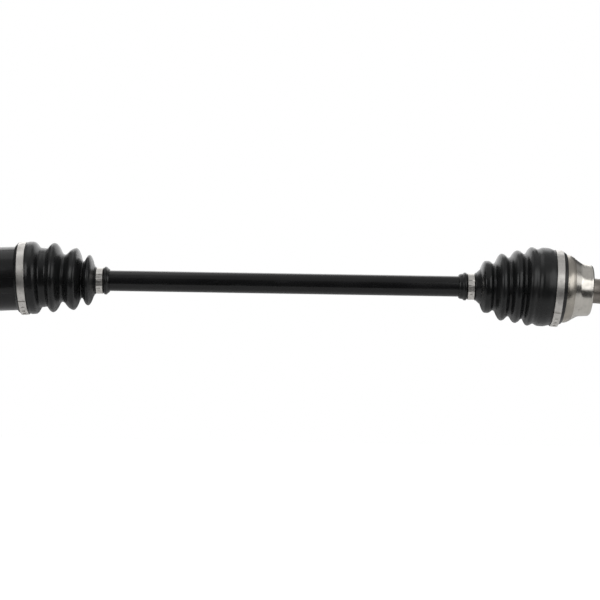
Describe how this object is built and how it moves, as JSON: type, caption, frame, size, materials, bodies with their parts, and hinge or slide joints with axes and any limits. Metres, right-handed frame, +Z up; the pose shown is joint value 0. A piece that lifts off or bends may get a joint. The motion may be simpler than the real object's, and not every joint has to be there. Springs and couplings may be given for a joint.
{
  "type": "cv axle",
  "caption": "Front drive axle: a steel bar with a booted ball joint and splined stub at the wheel end, and a booted plunging tripod joint at the gearbox end.",
  "frame": {"origin": "on the bar's axis, midway between the two joint centres", "axes": "+X along the bar to the outer (wheel) end, +Z up, +Y away from the viewer of the picture"},
  "size_m": [0.9228, 0.0954, 0.0963],
  "materials": {
    "black_paint": "satin",
    "machined_steel": "machined",
    "hardened_steel": "ground",
    "band_steel": "satin",
    "spring_steel": "phosphated",
    "boot_rubber": "satin"
  },
  "bodies": {
    "bar": {"axle_bar": "black_paint", "outer_inner_race": "hardened_steel", "inner_race_circlip": "spring_steel", "tripod_spider": "hardened_steel", "spider_retaining_ring": "spring_steel", "spider_stop_ring": "spring_steel", "outer_boot_small_clamp": "band_steel", "inner_boot_small_clamp": "band_steel", "trunnion_washer_1": "hardened_steel", "trunnion_washer_2": "hardened_steel", "trunnion_washer_3": "hardened_steel", "trunnion_circlip_1": "hardened_steel", "trunnion_circlip_2": "hardened_steel", "trunnion_circlip_3": "hardened_steel"},
    "upright_balls": {"ball_1": "hardened_steel", "ball_4": "hardened_steel"},
    "cage": {"ball_cage": "hardened_steel", "ball_2": "hardened_steel", "ball_3": "hardened_steel", "ball_5": "hardened_steel", "ball_6": "hardened_steel"},
    "outer_boot_body": {"outer_boot": "boot_rubber"},
    "outer_joint": {"outer_housing": "machined_steel", "outer_boot_large_clamp": "band_steel"},
    "inner_boot_body": {"inner_boot": "boot_rubber"},
    "inner_joint": {"inner_housing": "black_paint", "inner_boot_large_clamp": "band_steel", "housing_snap_ring": "spring_steel", "inner_stub_circlip": "spring_steel"},
    "roller_1": {"trunnion_roller_1": "hardened_steel"},
    "needles_1": {"trunnion_needles_1": "hardened_steel"},
    "roller_2": {"trunnion_roller_2": "hardened_steel"},
    "needles_2": {"trunnion_needles_2": "hardened_steel"},
    "roller_3": {"trunnion_roller_3": "hardened_steel"},
    "needles_3": {"trunnion_needles_3": "hardened_steel"}
  },
  "joints": [
    {"name": "outer_bend_bar_side", "type": "hinge", "parent": "bar", "child": "upright_balls", "pos_m": [0.3365, 0, 0], "axis": [0, 1, 0], "range_deg": [-11.75, 8.25]},
    {"name": "outer_steer_bar_side", "type": "hinge", "parent": "upright_balls", "child": "cage", "pos_m": [0.3365, 0, 0], "axis": [0.0305, 0, 0.9995], "range_deg": [-21, 21]},
    {"name": "outer_steer_wheel_side", "type": "hinge", "parent": "cage", "child": "outer_boot_body", "pos_m": [0.3365, 0, 0], "axis": [0.0305, 0, 0.9995], "range_deg": [-21, 21], "deforming": ["outer_boot"]},
    {"name": "outer_bend_wheel_side", "type": "hinge", "parent": "outer_boot_body", "child": "outer_joint", "pos_m": [0.3365, 0, 0], "axis": [0, 1, 0], "range_deg": [-11.75, 8.25]},
    {"name": "inner_bend", "type": "hinge", "parent": "bar", "child": "inner_boot_body", "pos_m": [-0.3365, 0, 0], "axis": [0, 1, 0], "range_deg": [-15, 21], "deforming": ["inner_boot"]},
    {"name": "inner_plunge", "type": "slide", "parent": "inner_boot_body", "child": "inner_joint", "axis": [-0.9986, 0, -0.0523], "range_m": [-0.013, 0.013]},
    {"name": "roller_1_roll", "type": "hinge", "parent": "bar", "child": "roller_1", "pos_m": [-0.3365, 0, 0], "axis": [0, 1, 0], "range_deg": [-44, 44]},
    {"name": "needles_1_roll", "type": "hinge", "parent": "bar", "child": "needles_1", "pos_m": [-0.3365, 0, 0], "axis": [0, 1, 0], "range_deg": [-24.5, 24.5]},
    {"name": "roller_2_roll", "type": "hinge", "parent": "bar", "child": "roller_2", "pos_m": [-0.3365, 0, 0], "axis": [0, -0.5, 0.866], "range_deg": [-44, 44]},
    {"name": "needles_2_roll", "type": "hinge", "parent": "bar", "child": "needles_2", "pos_m": [-0.3365, 0, 0], "axis": [0, -0.5, 0.866], "range_deg": [-24.5, 24.5]},
    {"name": "roller_3_roll", "type": "hinge", "parent": "bar", "child": "roller_3", "pos_m": [-0.3365, 0, 0], "axis": [0, -0.5, -0.866], "range_deg": [-44, 44]},
    {"name": "needles_3_roll", "type": "hinge", "parent": "bar", "child": "needles_3", "pos_m": [-0.3365, 0, 0], "axis": [0, -0.5, -0.866], "range_deg": [-24.5, 24.5]}
  ],
  "couplings": [
    {"joint": "outer_steer_wheel_side", "follows": "outer_steer_bar_side", "ratio": 1},
    {"joint": "outer_bend_wheel_side", "follows": "outer_bend_bar_side", "ratio": 1},
    {"joint": "roller_1_roll", "follows": "inner_plunge", "rad_per_m": -58.824},
    {"joint": "needles_1_roll", "follows": "inner_plunge", "rad_per_m": -32.541},
    {"joint": "roller_2_roll", "follows": "inner_plunge", "rad_per_m": -58.824},
    {"joint": "needles_2_roll", "follows": "inner_plunge", "rad_per_m": -32.541},
    {"joint": "roller_3_roll", "follows": "inner_plunge", "rad_per_m": -58.824},
    {"joint": "needles_3_roll", "follows": "inner_plunge", "rad_per_m": -32.541}
  ]
}
